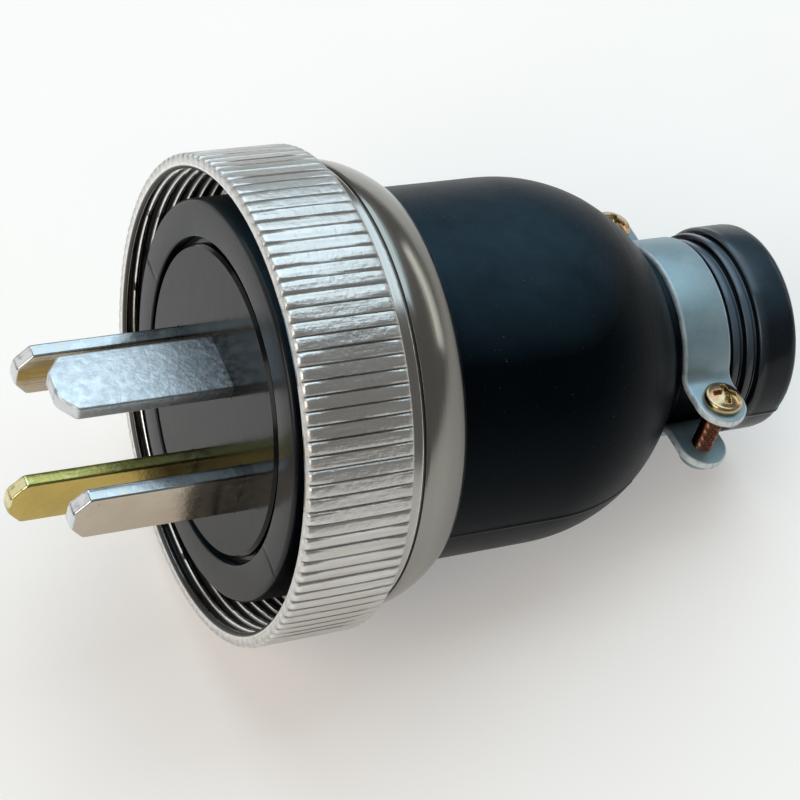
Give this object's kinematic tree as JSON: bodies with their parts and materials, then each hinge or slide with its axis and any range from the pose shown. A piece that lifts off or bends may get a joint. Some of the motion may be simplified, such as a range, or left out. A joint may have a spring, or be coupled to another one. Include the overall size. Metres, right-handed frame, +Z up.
{
  "type": "waterproof plug",
  "caption": "Waterproof industrial plug with flat contact blades, a knurled threaded coupling ring, a domed rubber cover and a screwed cord clamp.",
  "frame": {"origin": "middle of the plug's footprint on the surface it lies on", "axes": "+Z up; the plug lies with its blades towards -X and its tail towards +X, the axis sloping down to the tail by 12.65 degrees in the XZ plane"},
  "size_m": [0.1108, 0.064, 0.0653],
  "materials": {
    "ring_metal": "turned and knurled, satin",
    "rubber": "moulded black rubber, satin",
    "core_plastic": "polished black thermoset moulding",
    "plated_blade": "bright tin-plated copper alloy",
    "earth_brass": "plain rolled brass",
    "zinc_steel": "bright zinc plating with a bluish passivation",
    "yellow_screw": "yellow passivated zinc",
    "terminal_steel": "nickel plated"
  },
  "bodies": {
    "plug": {"rubber_cover": "rubber", "insulator_core": "core_plastic", "clamp_saddle_upper": "zinc_steel", "clamp_saddle_lower": "zinc_steel", "clamp_screw_left": "yellow_screw", "clamp_screw_right": "yellow_screw", "blade_line_1": "plated_blade", "wire_clamp_line_1": "terminal_steel", "terminal_screw_line_1": "terminal_steel", "blade_line_2": "plated_blade", "wire_clamp_line_2": "terminal_steel", "terminal_screw_line_2": "terminal_steel", "blade_line_3": "plated_blade", "wire_clamp_line_3": "terminal_steel", "terminal_screw_line_3": "terminal_steel", "blade_earth": "earth_brass", "wire_clamp_earth": "terminal_steel", "terminal_screw_earth": "terminal_steel"},
    "ring": {"coupling_ring": "ring_metal"}
  },
  "joints": [
    {"name": "ring_turn", "type": "hinge", "parent": "plug", "child": "ring", "pos_m": [-0.01034, 0, 0.03026], "axis": [0.9757, 0, -0.2189], "continuous": true}
  ]
}
